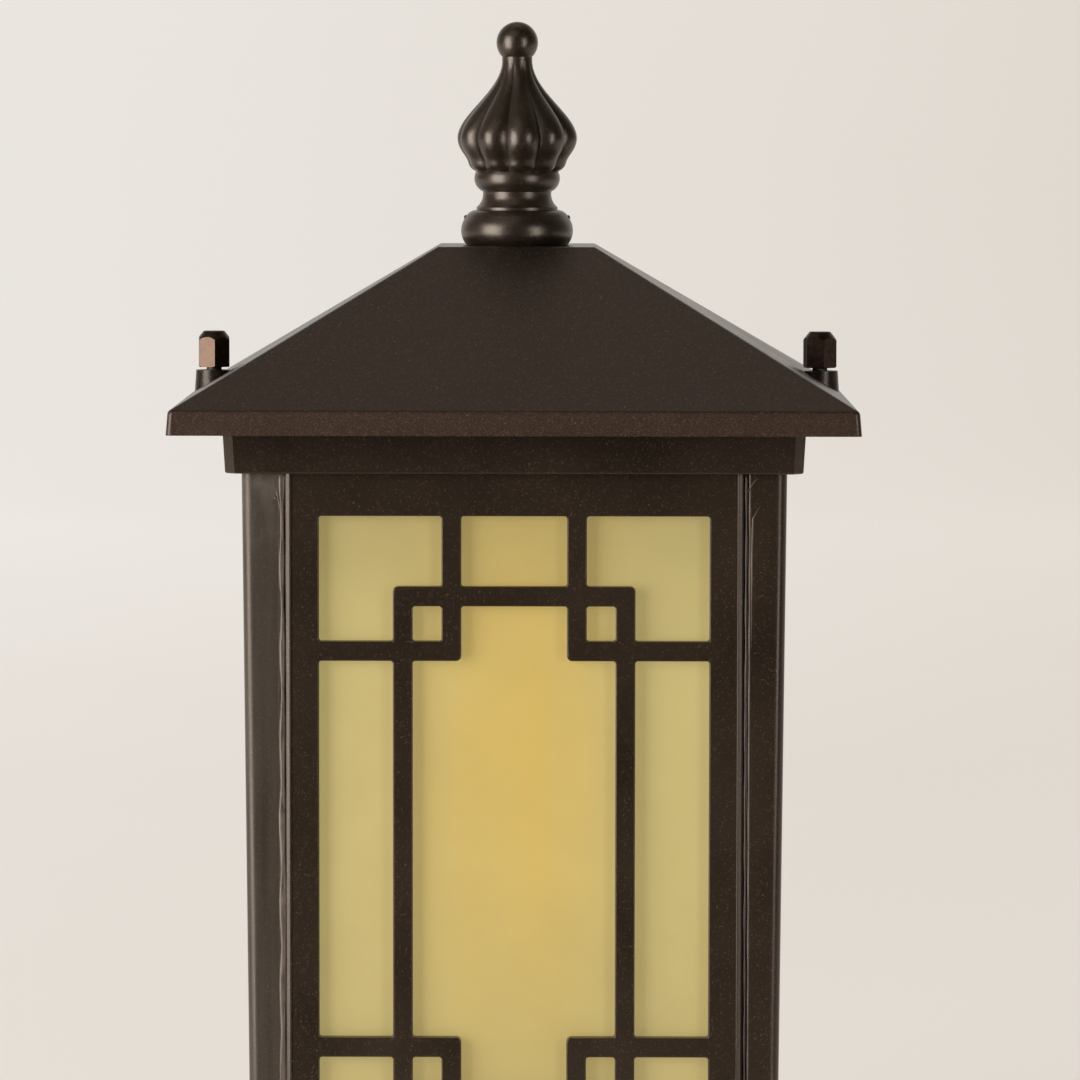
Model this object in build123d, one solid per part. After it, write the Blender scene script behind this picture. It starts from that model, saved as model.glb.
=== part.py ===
from build123d import *
import math
import os

# Square pillar lantern in cast aluminium: a foot plate, two collars, four corner posts,
# four fret panels with amber panes, a lift-off roof held by two cap nuts, and a finial.
# Millimetres, +Z up, front of the lantern towards -Y, origin at the centre of the foot.

# Body: the outer faces lean out towards the roof
body_bottom_half = 84.85
body_flare = 2.45
body_height = 243.0
post_face = 13.0
post_corner_radius = 3.4
seam_edge_radius = 1.7
post_fit = 0.1
seam_gap = 0.35
end_gap = 0.15
tongue_corner_room = 0.4

# Fret panels and panes
fret_thickness = 4.0
flange_thickness = 3.0
fret_stile = 11.35
top_rail = 13.8
bottom_rail = 14.2
bar_width = 6.3
short_bar_place = 20.1
long_bar_place = 35.7
upper_bar_drop = 25.8
lower_rail_drop = 43.4
inner_corner_radius = 0.9
outer_corner_radius = 1.7
bar_edge_radius = 0.5
pane_overlap = 3.6
pane_edge_room = 0.4
pane_fit = 0.05
clip_grip = 3.5
clip_post_room = 0.6
clip_width = 8.0
clip_thickness = 1.0
clip_corner_radius = 2.0
clip_end_inset = 27.5
clip_screw_inset = 3.8
clip_screw_radius = 1.25
clip_screw_head_radius = 2.4
clip_screw_head = 1.5
clip_screw_length = 5.0

# Collars: the base collar is the top collar's section turned over
collar_overhang = 5.8
collar_draft = 0.8
collar_corner_cut = 3.2
collar_edge_radius = 0.8
collar_web = 3.5
collar_wall = 4.0
collar_web_reach = 16.85
base_collar_height = 12.0
top_collar_show = 13.1
top_collar_tuck = 1.0

# Ears of the top collar, which carry the roof studs under the eave
ear_thickness = 4.6
ear_drop = 0.5
ear_half_width = 8.0
ear_nose = 5.0
ear_nose_flat = 0.25

# Foot plate
foot_margin = 12.9
foot_thickness = 6.0
foot_corner_radius = 10.0
foot_edge_radius = 1.5
mount_hole_radius = 3.25
mount_hole_edge = 7.5
cable_bore_radius = 8.0

# Screws of the frame
thread_fit = 0.05
through_fit = 0.25
screw_tip_room = 1.0
post_screw_radius = 2.0
post_screw_head_radius = 3.6
post_screw_head = 2.6
post_screw_grip = 12.5
post_screw_inset = 3.7
foot_screw_radius = 2.5
foot_screw_head_radius = 4.8
foot_screw_grip = 7.0
foot_boss_radius = 5.2
foot_boss_room = 1.0

# Roof
eave_overhang = 16.9
fascia_draft = 0.6
fascia_height = 7.6
slope_rise = 50.1
plateau_half = 25.9
roof_wall = 2.5
roof_edge_radius = 1.8
gasket_thickness = 1.5
gasket_width = 3.0
rib_thickness = 2.6
stud_inset = 9.0
stud_radius = 2.5
stud_tip_chamfer = 0.6
stud_hole_fit = 0.4
boss_rise = 8.4
boss_top_radius = 6.0
boss_draft = 0.55
boss_core_margin = 0.45
boss_foot_room = 0.4

# Cap nuts and seal washers
nut_flats = 10.0
nut_height = 12.0
nut_top_inset = 1.55
nut_top_chamfer = 2.9
nut_foot_chamfer = 0.5
nut_stand_off = 1.0
nut_bore_fit = 0.1
nut_bore_room = 1.2
nut_engagement = 8.0
left_nut_turn = 5.5
right_nut_turn = 11.0
washer_lip = 0.8
washer_thickness = 1.2
washer_fit = 0.1

# Finial: a turned foot, a lobed onion and a ball, each moulding standing on the one below
finial_foot_radius = 16.8
finial_foot_bulge = 18.6
finial_bulge_height = 4.3
finial_shoulder_radius = 17.2
finial_shoulder_height = 9.2
finial_shoulder_climb = 2.5
shoulder_bow_run = 0.6
shoulder_bow_climb = 0.3
finial_step_radius = 13.5
finial_step_rise = 0.9
finial_waist_radius = 11.4
finial_waist_climb = 5.2
finial_cove_bow = 0.8
finial_ring_radius = 14.2
finial_ring_climb = 3.8
onion_seat_radius = 13.4
onion_seat_climb = 3.3
onion_sink = 0.7
onion_belly_radius = 20.1
onion_belly_climb = 11.1
onion_tip_radius = 5.0
onion_tip_climb = 25.5
onion_groove_share = 0.12
onion_seat_groove = 0.75
onion_ogee_power = 0.88
onion_fade_power = 2
onion_lobes = 10
onion_turn = 7.4
onion_low_levels = 3
onion_high_levels = 6
finial_ball_radius = 6.9
finial_ball_rise = 5.7
finial_stud_radius = 3.0
finial_stud_depth = 14.0
finial_stud_drop = 11.0
finial_washer_radius = 9.0
finial_washer_thickness = 1.5
finial_nut_flats = 10.0
finial_nut_height = 5.0

# Lampholder bracket: a strip bent to a hat, on the base collar's web
bracket_width = 34.0
bracket_thickness = 2.0
bracket_bearing = 7.0
bracket_top_half = 46.0
bracket_rise = 28.0
bracket_bend = 3.0
bracket_screw_radius = 2.0
bracket_screw_head_radius = 3.6
bracket_screw_head = 2.4

# Lampholder for an E27 cap
holder_radius = 22.0
holder_rim_radius = 20.0
holder_rim_round = 1.5
holder_height = 40.0
holder_floor = 10.0
holder_screw_place = 16.0
holder_screw_radius = 1.5
holder_screw_head_radius = 2.8
holder_screw_head = 2.0
holder_screw_grip = 6.0
shell_wall = 0.5
shell_height = 24.0
shell_fit = 0.2
contact_length = 22.0
contact_width = 7.0
contact_thickness = 0.8
contact_pad_radius = 3.5
contact_pad_height = 1.1

# Lamp: a tubular opal lamp on an E27 cap
lamp_stand_off = 0.1
lamp_tip_radius = 4.2
lamp_tip_height = 1.5
insulator_height = 4.0
cap_radius = 13.1
cap_thread_fit = 0.3
cap_wall = 0.5
cap_length = 21.0
cap_ridges = 5
cap_ridge_depth = 0.7
glass_radius = 20.0
glass_wall = 1.0
glass_neck_fit = 0.2
glass_neck_depth = 9.0
glass_neck_rise = 3.0
glass_flare = 17.0
glass_tube_length = 74.0

# Wiring
block_width = 18.0
block_height = 12.0
block_corner_radius = 1.5
block_end = 8.0
pole_pitch = 10.0
block_screw_radius = 1.6
block_screw_place = 4.5
block_screw_depth = 5.0
block_screw_seat = 0.6
block_screw_slot = 0.8
lead_radius = 1.3
lead_fit = 0.2
lead_axis_rise = 2.6
lead_loop = 11.0
lead_seat_depth = 5.0
lead_holder_rise = 5.0
lead_low_bend = 7.0
lead_high_bend = 18.0
tag_width = 8.0
tag_thickness = 0.8
tag_boss_room = 0.7
tag_neck = 8.0
barrel_length = 6.0
barrel_wall = 0.7
earth_screw_radius = 2.0
earth_screw_head_radius = 3.5
earth_screw_head = 2.2
earth_screw_grip = 4.0
earth_screw_room = 0.5

# Cable grommet
grommet_flange_margin = 3.0
grommet_flange = 2.0
grommet_flange_round = 1.0
grommet_bore_radius = 5.0
grommet_fit = 0.05
grommet_lift = 0.5

# Half widths and places across the body, worked out from the inside to the outside
body_top_half = body_bottom_half + body_flare
seam_half = body_top_half - post_face
opening_half = seam_half - seam_gap - fret_stile
tongue_half = body_bottom_half - fret_thickness - flange_thickness - tongue_corner_room
pane_half = opening_half + pane_overlap
flange_inner_half = pane_half + pane_edge_room
clip_inner = pane_half - clip_grip
clip_length = seam_half - clip_post_room - clip_inner
clip_screw_place = flange_inner_half + clip_screw_inset
collar_wide_half = body_top_half + collar_overhang
collar_narrow_half = collar_wide_half - collar_draft
collar_pocket_half = collar_wide_half - collar_wall
collar_opening_half = body_bottom_half - collar_web_reach
foot_half = collar_wide_half + foot_margin
mount_hole_place = foot_half - mount_hole_edge
foot_screw_place = collar_pocket_half - foot_boss_radius - foot_boss_room
post_screw_top_place = body_top_half - post_screw_inset
post_screw_bottom_place = body_bottom_half - post_screw_inset
bracket_reach = collar_opening_half + bracket_bearing
bracket_screw_place = collar_opening_half + bracket_bearing / 2
eave_half = collar_wide_half + eave_overhang
arris_half = eave_half - fascia_draft
stud_place = eave_half - stud_inset
gasket_outer_half = collar_wide_half - (collar_wall - gasket_width) / 2
gasket_inner_half = gasket_outer_half - gasket_width
rib_outer_half = gasket_outer_half - (gasket_width - rib_thickness) / 2
rib_inner_half = rib_outer_half - rib_thickness
shell_bore_radius = cap_radius + cap_thread_fit
cap_bore_radius = cap_radius - cap_ridge_depth - cap_wall
washer_radius = nut_flats / 2 - washer_lip
tag_end = foot_screw_place - foot_boss_radius - tag_boss_room
tag_hole_place = tag_end - tag_width
barrel_start = tag_hole_place - tag_neck - barrel_length
lead_back_place = barrel_start + barrel_length / 2
block_face = lead_back_place - lead_loop
block_place = block_face - block_width / 2

# Levels, from the ground up
foot_top = foot_thickness
body_bottom = foot_top + base_collar_height
body_top = body_bottom + body_height
base_web_under = body_bottom - collar_web
top_web_over = body_top + collar_web
eave_level = body_top + top_collar_show
collar_top = eave_level + top_collar_tuck
gasket_top = collar_top + gasket_thickness
arris_level = eave_level + fascia_height
plateau_level = arris_level + slope_rise
plateau_under = plateau_level - roof_wall
ear_top = eave_level - ear_drop
ear_under = ear_top - ear_thickness
boss_top = arris_level + boss_rise
nut_under = boss_top + nut_stand_off
bracket_top = body_bottom + bracket_rise
holder_floor_level = bracket_top + holder_floor
holder_top = bracket_top + holder_height
lamp_foot = holder_floor_level + contact_thickness + contact_pad_height + lamp_stand_off
cap_foot = lamp_foot + lamp_tip_height + insulator_height
cap_top = cap_foot + cap_length
lead_axis = foot_top + lead_axis_rise
lead_high = bracket_top + lead_holder_rise

# The leaning faces of the body, and the slope of the roof
lean = math.atan2(body_flare, body_height)
face_height = math.hypot(body_flare, body_height)
opening_height = face_height - top_rail - bottom_rail
opening_middle = bottom_rail + opening_height / 2
clip_rise = opening_height / 2 - clip_end_inset
slope_fall = slope_rise / (arris_half - plateau_half)

# Levels of the finial above its seat
finial_step_low = finial_shoulder_height + finial_shoulder_climb
finial_step_high = finial_step_low + finial_step_rise
finial_waist_height = finial_step_high + finial_waist_climb
finial_ring_height = finial_waist_height + finial_ring_climb
onion_seat_height = finial_ring_height + onion_seat_climb
onion_belly_height = onion_seat_height + onion_belly_climb
onion_tip_height = onion_belly_height + onion_tip_climb
finial_ball_level = onion_tip_height + finial_ball_rise

ON_BASE = (Align.CENTER, Align.CENTER, Align.MIN)
ON_TOP = (Align.CENTER, Align.CENTER, Align.MAX)
CORNERS = [(1, 1), (-1, 1), (-1, -1), (1, -1)]
SIDES = [(1, 0), (0, 1), (-1, 0), (0, -1)]


def rod(radius, low, high, x=0.0, y=0.0):
    return Pos(x, y, low) * Cylinder(radius, high - low, align=ON_BASE)


def slab(half_x, half_y, low, high):
    return Pos(0, 0, low) * Box(2 * half_x, 2 * half_y, high - low, align=ON_BASE)


def tapered_square(low_half, high_half, low, high, corner_cut=0.0):
    sections = []
    for half, level in ((low_half, low), (high_half, high)):
        outline = Rectangle(2 * half, 2 * half)
        if corner_cut > 0:
            outline = chamfer(outline.vertices(), corner_cut)
        sections.append(Pos(0, 0, level) * outline)
    return loft(sections, ruled=True)


def hexagon(flats, low, high, vertex_angle=0.0):
    outline = RegularPolygon(flats / 2, 6, major_radius=False, rotation=vertex_angle)
    return extrude(Pos(0, 0, low) * outline, high - low)


def pan_screw(radius, head_radius, head, length, fillet_share=0.4):
    # The head stands on the XY plane and the shank hangs below it
    top = Cylinder(head_radius, head, align=ON_BASE)
    top = fillet(top.edges().sort_by(Axis.Z)[-1], head * fillet_share)
    return top + Cylinder(radius, length, align=ON_TOP)


def revolved(outline):
    return revolve(Plane.XZ * make_face(outline), Axis.Z)


# Foot plate and base collar

def foot_plate():
    plate = extrude(RectangleRounded(2 * foot_half, 2 * foot_half, foot_corner_radius), foot_thickness)
    plate = fillet(plate.faces().sort_by(Axis.Z)[-1].edges(), foot_edge_radius)
    for x, y in CORNERS:
        plate -= rod(mount_hole_radius, 0, foot_top, x * mount_hole_place, y * mount_hole_place)
    plate -= rod(cable_bore_radius, 0, foot_top)
    for x, y in SIDES:
        plate -= Pos(x * foot_screw_place, y * foot_screw_place) * foot_screw_shape(through_fit)
    earth_bore_low = foot_top - earth_screw_grip - earth_screw_room
    plate -= rod(earth_screw_radius + thread_fit, earth_bore_low, foot_top, 0, tag_hole_place)
    return plate


def foot_screw_shape(fit):
    # A countersunk screw driven up from the underside
    head_height = foot_screw_head_radius - foot_screw_radius
    head = Cone(foot_screw_head_radius + fit, foot_screw_radius + fit, head_height, align=ON_BASE)
    return head + Cylinder(foot_screw_radius + fit, foot_thickness + foot_screw_grip, align=ON_BASE)


def foot_screws():
    screw = foot_screw_shape(0.0)
    return [Pos(x * foot_screw_place, y * foot_screw_place) * screw for x, y in SIDES]


def base_collar():
    ring = tapered_square(collar_wide_half, collar_narrow_half, foot_top, body_bottom, collar_corner_cut)
    ring = fillet(ring.faces().sort_by(Axis.Z)[-1].edges(), collar_edge_radius)
    ring -= slab(collar_pocket_half, collar_pocket_half, foot_top, base_web_under)
    ring -= slab(collar_opening_half, collar_opening_half, base_web_under, body_bottom)
    foot_bore = foot_screw_radius + thread_fit
    foot_bore_top = foot_top + foot_screw_grip + screw_tip_room
    for x, y in SIDES:
        ring += rod(foot_boss_radius, foot_top, base_web_under, x * foot_screw_place, y * foot_screw_place)
        ring -= rod(foot_bore, foot_top, foot_bore_top, x * foot_screw_place, y * foot_screw_place)
    for x, y in CORNERS:
        place = post_screw_bottom_place
        ring -= rod(post_screw_radius + through_fit, base_web_under, body_bottom, x * place, y * place)
    for x in (-1, 1):
        ring -= rod(bracket_screw_radius + thread_fit, base_web_under, body_bottom, x * bracket_screw_place)
    return ring


# Corner posts

def post_section(half, level):
    width = half - seam_half
    middle = seam_half + width / 2
    outline = Pos(middle, middle, level) * Rectangle(width, width)
    outline = fillet(outline.vertices().sort_by_distance((half, half, level))[0], post_corner_radius)
    for place in ((seam_half, half, level), (half, seam_half, level)):
        outline = fillet(outline.vertices().sort_by_distance(place)[0], seam_edge_radius)
    return outline


def face_frame(quarter):
    # The leaning plane of one side: local Y climbs the face and local Z points outwards
    front = Plane(
        origin=(0, -body_bottom_half, body_bottom),
        x_dir=(1, 0, 0),
        z_dir=(0, -math.cos(lean), -math.sin(lean)),
    )
    return Rot(0, 0, 90 * quarter) * front.location


def groove_slab():
    half = tongue_half + post_fit
    depth = flange_thickness + 2 * post_fit
    spare = collar_web
    block = Box(2 * half, face_height + 2 * spare, depth)
    return Pos(0, face_height / 2, -fret_thickness + post_fit - depth / 2) * block


def corner_post():
    # The post at +X +Y, with a groove for the right-hand panel and one for the rear panel
    foot_end = post_section(body_bottom_half, body_bottom)
    post = loft([foot_end, post_section(body_top_half, body_top)], ruled=True)
    for quarter in (1, 2):
        post -= face_frame(quarter) * groove_slab()
    depth = post_screw_grip + screw_tip_room
    bore = post_screw_radius + thread_fit
    post -= rod(bore, body_top - depth, body_top, post_screw_top_place, post_screw_top_place)
    post -= rod(bore, body_bottom, body_bottom + depth, post_screw_bottom_place, post_screw_bottom_place)
    return post


def post_screws(upper):
    length = collar_web + post_screw_grip
    screw = pan_screw(post_screw_radius, post_screw_head_radius, post_screw_head, length)
    place = post_screw_top_place if upper else post_screw_bottom_place
    level = top_web_over if upper else base_web_under
    turn = Rot(0, 0, 0) if upper else Rot(180, 0, 0)
    return [Pos(x * place, y * place, level) * turn * screw for x, y in CORNERS]


# Fret panels

def fret_bars():
    top = opening_height / 2
    reach = lower_rail_drop + bar_width / 2
    bars = []
    for x in (-1, 1):
        for end in (-1, 1):
            short_middle = end * (top - reach / 2)
            bars.append(Pos(x * short_bar_place, short_middle) * Rectangle(bar_width, reach))
            rail_inner = short_bar_place - bar_width / 2
            rail_length = opening_half - rail_inner
            rail_place = Pos(x * (rail_inner + rail_length / 2), end * (top - lower_rail_drop))
            bars.append(rail_place * Rectangle(rail_length, bar_width))
        long_length = opening_height - 2 * upper_bar_drop + bar_width
        bars.append(Pos(x * long_bar_place, 0) * Rectangle(bar_width, long_length))
    for end in (-1, 1):
        upper_length = 2 * long_bar_place + bar_width
        bars.append(Pos(0, end * (top - upper_bar_drop)) * Rectangle(upper_length, bar_width))
    return bars


def turns_outwards(face, vertex):
    # At the outer corner of a bar, three of the four quarters round it are open
    step = bar_width / 4
    quarters = [face.is_inside(Vector(vertex.X + x * step, vertex.Y + y * step, 0)) for x, y in CORNERS]
    return sum(quarters) == 3


def fret_gaps():
    area = Rectangle(2 * opening_half, opening_height)
    for bar in fret_bars():
        area -= bar
    gaps = []
    for face in area.faces():
        outer = [v for v in face.vertices() if turns_outwards(face, v)]
        gap = Sketch() + face
        for corner in outer:
            gap = fillet(gap.vertices().sort_by_distance(corner.center())[0], outer_corner_radius)
        inner = [v for v in face.vertices() if not turns_outwards(face, v)]
        for corner in inner:
            gap = fillet(gap.vertices().sort_by_distance(corner.center())[0], inner_corner_radius)
        gaps.append(gap)
    return gaps


def fret():
    # Modelled flat, face up, with its foot on the X axis
    half = seam_half - seam_gap
    height = face_height - 2 * end_gap
    outline = Pos(0, face_height / 2) * Rectangle(2 * half, height)
    for gap in fret_gaps():
        outline -= Pos(0, opening_middle) * gap
    plate = extrude(outline, -fret_thickness)
    front = plate.faces().sort_by(Axis.Z)[-1]
    rims = [edge for wire in front.inner_wires() for edge in wire.edges()]
    plate = fillet(rims, bar_edge_radius)
    long_edges = plate.edges().filter_by(Axis.Y).group_by(Axis.Z)[-1]
    plate = fillet([long_edges.sort_by(Axis.X)[0], long_edges.sort_by(Axis.X)[-1]], seam_edge_radius)
    flange_width = tongue_half - flange_inner_half
    for side in (-1, 1):
        strip = Box(flange_width, height, flange_thickness, align=ON_TOP)
        middle = side * (flange_inner_half + flange_width / 2)
        plate += Pos(middle, face_height / 2, -fret_thickness) * strip
    for x, y in clip_screw_places():
        hole = Cylinder(clip_screw_radius + thread_fit, clip_screw_length, align=ON_TOP)
        plate -= Pos(x, y, -fret_thickness - flange_thickness + clip_screw_length) * hole
    return plate


def clip_heights():
    return [opening_middle + end * clip_rise for end in (-1, 1)]


def clip_screw_places():
    return [(side * clip_screw_place, y) for side in (-1, 1) for y in clip_heights()]


def pane():
    half_height = opening_height / 2 + pane_overlap
    glass = Box(2 * pane_half, 2 * half_height, flange_thickness - 2 * pane_fit, align=ON_TOP)
    return Pos(0, opening_middle, -fret_thickness - pane_fit) * glass


def pane_clips():
    back = -fret_thickness - flange_thickness
    clips = []
    for side in (-1, 1):
        for y in clip_heights():
            clip = Box(clip_length, clip_width, clip_thickness, align=ON_TOP)
            clip = fillet(clip.edges().filter_by(Axis.Z), clip_corner_radius)
            clip = Pos(side * (clip_inner + clip_length / 2), y, back) * clip
            hole = Cylinder(clip_screw_radius + through_fit, clip_thickness, align=ON_TOP)
            clips.append(clip - Pos(side * clip_screw_place, y, back) * hole)
    return clips


def clip_screws():
    screw = pan_screw(clip_screw_radius, clip_screw_head_radius, clip_screw_head, clip_screw_length)
    back = -fret_thickness - flange_thickness - clip_thickness
    return [Pos(x, y, back) * Rot(180, 0, 0) * screw for x, y in clip_screw_places()]


def on_all_faces(pieces):
    return [face_frame(quarter) * piece for quarter in range(4) for piece in pieces]


# Top collar, studs and gasket

def top_collar():
    ring = tapered_square(collar_narrow_half, collar_wide_half, body_top, collar_top, collar_corner_cut)
    ring = fillet(ring.faces().sort_by(Axis.Z)[0].edges(), collar_edge_radius)
    for side in (-1, 1):
        length = stud_place - collar_pocket_half
        middle = side * (collar_pocket_half + length / 2)
        arm = Pos(middle, 0, ear_under) * Box(length, 2 * ear_half_width, ear_thickness, align=ON_BASE)
        nose_round = min(ear_half_width, ear_nose) - ear_nose_flat
        nose_outline = RectangleRounded(2 * ear_nose, 2 * ear_half_width, nose_round)
        nose = extrude(Pos(side * stud_place, 0, ear_under) * nose_outline, ear_thickness)
        ring += arm + nose
    ring -= slab(collar_pocket_half, collar_pocket_half, top_web_over, collar_top)
    ring -= slab(collar_opening_half, collar_opening_half, body_top, top_web_over)
    for x, y in CORNERS:
        place = post_screw_top_place
        ring -= rod(post_screw_radius + through_fit, body_top, top_web_over, x * place, y * place)
    for side in (-1, 1):
        ring -= rod(stud_radius + thread_fit, ear_under, ear_top, side * stud_place)
    return ring


def roof_gasket():
    outer = slab(gasket_outer_half, gasket_outer_half, collar_top, gasket_top)
    return outer - slab(gasket_inner_half, gasket_inner_half, collar_top, gasket_top)


def stud(side):
    pin = rod(stud_radius, ear_under, nut_under + nut_engagement, side * stud_place)
    return chamfer(pin.edges().sort_by(Axis.Z)[-1], stud_tip_chamfer)


# Roof

def roof_block():
    fascia = tapered_square(eave_half, arris_half, eave_level, arris_level)
    return fascia + tapered_square(arris_half, plateau_half, arris_level, plateau_level)


def roof_hollow():
    drop = roof_wall * math.hypot(1, slope_fall)
    low_half = eave_half - roof_wall
    shoulder_half = arris_half - roof_wall
    shoulder = arris_level + slope_fall * roof_wall - drop
    top_half = arris_half - (plateau_under + drop - arris_level) / slope_fall
    skirt = tapered_square(low_half, shoulder_half, eave_level, shoulder)
    return skirt + tapered_square(shoulder_half, top_half, shoulder, plateau_under)


def roof_shell():
    block = roof_block()
    shape = fillet([e for e in block.edges() if e.center().Z > eave_level], roof_edge_radius)
    hollow = roof_hollow()
    shell = shape - hollow
    for side in (-1, 1):
        core_radius = boss_top_radius + boss_draft + boss_core_margin
        core = rod(core_radius, eave_level + boss_foot_room, boss_top, side * stud_place)
        shell += core & hollow
        boss = Cone(boss_top_radius + boss_draft, boss_top_radius, boss_rise, align=ON_BASE)
        shell += Pos(side * stud_place, 0, arris_level) * boss
    for side in (-1, 1):
        shell -= rod(stud_radius + stud_hole_fit, eave_level, boss_top, side * stud_place)
    return shell - rod(finial_stud_radius + through_fit, plateau_under, plateau_level)


def roof_rib():
    # A ring brazed under the slopes, which presses on the gasket
    ring = slab(rib_outer_half, rib_outer_half, gasket_top, plateau_under)
    ring -= slab(rib_inner_half, rib_inner_half, gasket_top, plateau_under)
    return ring & roof_hollow()


# Finial

def finial_foot():
    shoulder_run = finial_shoulder_radius - finial_step_radius
    bow_radius = finial_step_radius + shoulder_run * shoulder_bow_run
    bow_height = finial_step_low - finial_shoulder_climb * shoulder_bow_climb
    with BuildLine() as outline:
        Line((0, 0), (finial_foot_radius, 0))
        ThreePointArc(
            (finial_foot_radius, 0),
            (finial_foot_bulge, finial_bulge_height),
            (finial_shoulder_radius, finial_shoulder_height),
        )
        ThreePointArc(
            (finial_shoulder_radius, finial_shoulder_height),
            (bow_radius, bow_height),
            (finial_step_radius, finial_step_low),
        )
        Line((finial_step_radius, finial_step_low), (finial_step_radius, finial_step_high))
        ThreePointArc(
            (finial_step_radius, finial_step_high),
            (
                (finial_step_radius + finial_waist_radius) / 2 - finial_cove_bow,
                (finial_step_high + finial_waist_height) / 2,
            ),
            (finial_waist_radius, finial_waist_height),
        )
        ThreePointArc(
            (finial_waist_radius, finial_waist_height),
            (finial_ring_radius, finial_ring_height),
            (onion_seat_radius, onion_seat_height),
        )
        Line((onion_seat_radius, onion_seat_height), (0, onion_seat_height))
        Line((0, onion_seat_height), (0, 0))
    return revolved(outline.line)


def onion_below(share):
    # Height, crest radius and groove depth between the seat and the belly
    swell = math.sin(share * math.pi / 2)
    low = onion_seat_height - onion_sink
    height = low + (onion_belly_height - low) * share
    crest = onion_seat_radius + (onion_belly_radius - onion_seat_radius) * swell
    return height, crest, onion_groove_share * (onion_seat_groove + (1 - onion_seat_groove) * swell)


def onion_above(share):
    # The same between the belly and the tip, an ogee whose grooves fade out
    swell = (1 + math.cos(math.pi * share**onion_ogee_power)) / 2
    height = onion_belly_height + (onion_tip_height - onion_belly_height) * share
    crest = onion_tip_radius + (onion_belly_radius - onion_tip_radius) * swell
    return height, crest, onion_groove_share * (1 - share**onion_fade_power)


def lobed_section(height, crest, groove_share):
    step = 360 / onion_lobes
    groove = crest * (1 - groove_share)
    arcs = []
    for lobe in range(onion_lobes):
        middle = -90 + onion_turn + lobe * step
        points = []
        for radius, angle in ((groove, middle - step / 2), (crest, middle), (groove, middle + step / 2)):
            turn = math.radians(angle)
            points.append((radius * math.cos(turn), radius * math.sin(turn), height))
        arcs.append(ThreePointArc(*points))
    return make_face(Wire(arcs))


def finial():
    levels = [onion_below(k / onion_low_levels) for k in range(onion_low_levels)]
    levels += [onion_above(k / onion_high_levels) for k in range(onion_high_levels + 1)]
    onion = loft([lobed_section(*level) for level in levels])
    ball = Pos(0, 0, finial_ball_level) * Sphere(finial_ball_radius)
    body = finial_foot() + onion + rod(onion_tip_radius, onion_tip_height, finial_ball_level) + ball
    body -= rod(finial_stud_radius + thread_fit, 0, finial_stud_depth + screw_tip_room)
    return Pos(0, 0, plateau_level) * body


def finial_stud():
    return rod(finial_stud_radius, plateau_under - finial_stud_drop, plateau_level + finial_stud_depth)


def finial_washer():
    low = plateau_under - finial_washer_thickness
    bore = rod(finial_stud_radius + through_fit, low, plateau_under)
    return rod(finial_washer_radius, low, plateau_under) - bore


def finial_nut():
    high = plateau_under - finial_washer_thickness
    low = high - finial_nut_height
    return hexagon(finial_nut_flats, low, high) - rod(finial_stud_radius + thread_fit, low, high)


# Cap nuts and their seal washers

def cap_nut(side, turn):
    high = nut_under + nut_height
    vertex_radius = nut_flats / math.sqrt(3)
    with BuildLine() as outline:
        Polyline(
            (0, nut_under),
            (vertex_radius - nut_foot_chamfer, nut_under),
            (vertex_radius, nut_under + nut_foot_chamfer),
            (vertex_radius, high - nut_top_chamfer),
            (nut_flats / 2 - nut_top_inset, high),
            (0, high),
            close=True,
        )
    nut = hexagon(nut_flats, nut_under, high, turn - 90) & revolved(outline.line)
    bore_top = nut_under + nut_engagement + nut_bore_room
    nut -= rod(stud_radius + nut_bore_fit, nut_under, bore_top)
    nut -= rod(washer_radius + washer_fit, nut_under, nut_under + washer_thickness + washer_fit)
    return Pos(side * stud_place, 0, 0) * nut


def seal_washer(side):
    high = nut_under + washer_thickness
    ring = rod(washer_radius, nut_under, high) - rod(stud_radius + nut_bore_fit, nut_under, high)
    return Pos(side * stud_place, 0, 0) * ring


# Lampholder and its bracket

def lampholder_bracket():
    low = body_bottom
    rise = bracket_rise - bracket_thickness
    half = bracket_top_half - bracket_thickness / 2
    middle_low = low + bracket_thickness / 2
    points = [
        (-bracket_reach, middle_low),
        (-half, middle_low),
        (-half, middle_low + rise),
        (half, middle_low + rise),
        (half, middle_low),
        (bracket_reach, middle_low),
    ]
    line = FilletPolyline(*points, radius=bracket_bend)
    strip = Pos(points[0][0], 0, points[0][1]) * Rot(0, 90, 0) * Rectangle(bracket_thickness, bracket_width)
    hat = sweep(strip, path=Plane.XZ * line)
    foot_hole = bracket_screw_radius + through_fit
    top_hole = holder_screw_radius + through_fit
    for side in (-1, 1):
        hat -= rod(foot_hole, low, low + bracket_thickness, side * bracket_screw_place)
        hat -= rod(top_hole, bracket_top - bracket_thickness, bracket_top, side * holder_screw_place)
    return hat


def bracket_screws():
    length = bracket_thickness + collar_web
    screw = pan_screw(bracket_screw_radius, bracket_screw_head_radius, bracket_screw_head, length)
    level = body_bottom + bracket_thickness
    return [Pos(side * bracket_screw_place, 0, level) * screw for side in (-1, 1)]


def lampholder_body():
    body = Pos(0, 0, bracket_top) * Cone(holder_radius, holder_rim_radius, holder_height, align=ON_BASE)
    body = fillet(body.edges().sort_by(Axis.Z)[-1], holder_rim_round)
    body -= rod(shell_bore_radius + shell_wall + shell_fit, holder_floor_level, holder_top)
    for side in (-1, 1):
        bore_top = bracket_top + holder_screw_grip + screw_tip_room
        body -= rod(holder_screw_radius + thread_fit, bracket_top, bore_top, side * holder_screw_place)
        hole = Cylinder(lead_radius + lead_fit, holder_radius, align=ON_BASE)
        body -= Pos(side * pole_pitch, lead_seat(), lead_high) * Rot(-90, 0, 0) * hole
    return body


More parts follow.
